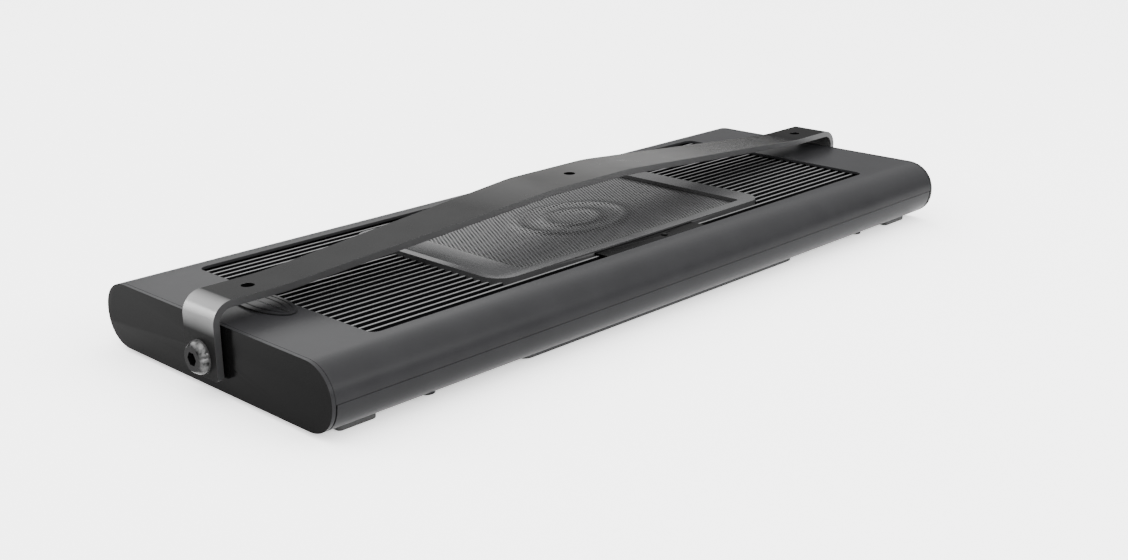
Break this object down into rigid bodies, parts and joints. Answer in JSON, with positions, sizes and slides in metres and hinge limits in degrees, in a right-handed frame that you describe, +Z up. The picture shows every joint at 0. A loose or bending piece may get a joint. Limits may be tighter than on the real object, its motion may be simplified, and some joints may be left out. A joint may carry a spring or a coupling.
{
  "type": "led aquarium light",
  "caption": "Long low aquarium light with a finned top, fans under a grille, a light window underneath and a hanging strap that tilts on end screws.",
  "frame": {"origin": "middle of the footprint, on the plane the feet stand on", "axes": "+X along the housing towards the end with the power inlet, -Y the front, +Z up"},
  "size_m": [0.6452, 0.2382, 0.0773],
  "materials": {
    "case": "satin powder coat, dark grey",
    "end_plate": "semi-gloss black moulding",
    "badge": "gloss dark grey",
    "fins": "black anodised with lighter top edges",
    "cover": "satin black moulding",
    "grille": "black perforated sheet",
    "fan": "matt black",
    "winding": "enamelled copper wire",
    "bright_screw": "zinc plated",
    "black_screw": "black oxide steel, satin",
    "led_board": "white board",
    "clear": "clear moulding",
    "rubber": "matt black",
    "circuit": "green board",
    "nylon": "matt black",
    "cable": "matt black sleeve",
    "strap": "satin powder coat, dark grey",
    "brass": "machined"
  },
  "bodies": {
    "housing": {"top_shell": "case", "lower_bezel": "case", "end_plate_left": "end_plate", "end_plate_right": "end_plate", "heat_sink": "fins", "fan_cover": "cover", "fan_grille": "grille", "tab_screw_front": "black_screw", "tab_screw_rear": "black_screw", "badge": "badge", "fan_frame_left": "fan", "fan_stator_left": "winding", "fan_screw_left_1": "bright_screw", "fan_screw_left_2": "bright_screw", "fan_screw_left_3": "bright_screw", "fan_screw_left_4": "bright_screw", "led_board_left": "led_board", "lens_plate_left": "clear", "fan_frame_right": "fan", "fan_stator_right": "winding", "fan_screw_right_1": "bright_screw", "fan_screw_right_2": "bright_screw", "fan_screw_right_3": "bright_screw", "fan_screw_right_4": "bright_screw", "led_board_right": "led_board", "lens_plate_right": "clear", "splash_shield": "clear", "shield_gasket": "rubber", "light_frame": "cover", "frame_screw_front": "black_screw", "frame_screw_rear": "black_screw", "chassis_screw_1": "bright_screw", "chassis_screw_2": "bright_screw", "chassis_screw_3": "bright_screw", "chassis_screw_4": "bright_screw", "controller_board": "circuit", "board_post_front": "nylon", "board_post_rear": "nylon", "power_inlet": "nylon", "inlet_nut": "bright_screw", "power_lead": "cable", "wiring_loom": "cable", "pivot_screw_left": "black_screw", "pivot_washer_left": "nylon", "pivot_insert_left": "brass", "pivot_screw_right": "black_screw", "pivot_washer_right": "nylon", "pivot_insert_right": "brass", "foot_left_front": "rubber", "foot_left_rear": "rubber", "foot_right_front": "rubber", "foot_right_rear": "rubber"},
    "bracket": {"hanging_bracket": "strap"},
    "left_fan": {"fan_rotor_left": "fan"},
    "right_fan": {"fan_rotor_right": "fan"}
  },
  "joints": [
    {"name": "strap_tilt", "type": "hinge", "parent": "housing", "child": "bracket", "pos_m": [0, 0, 0.02465], "axis": [1, 0, 0], "range_deg": [-15, 15]},
    {"name": "left_fan_spin", "type": "hinge", "parent": "housing", "child": "left_fan", "pos_m": [-0.0676, 0, 0.0335], "axis": [0, 0, 1], "continuous": true},
    {"name": "right_fan_spin", "type": "hinge", "parent": "housing", "child": "right_fan", "pos_m": [0.0564, 0, 0.0335], "axis": [0, 0, 1], "continuous": true}
  ]
}
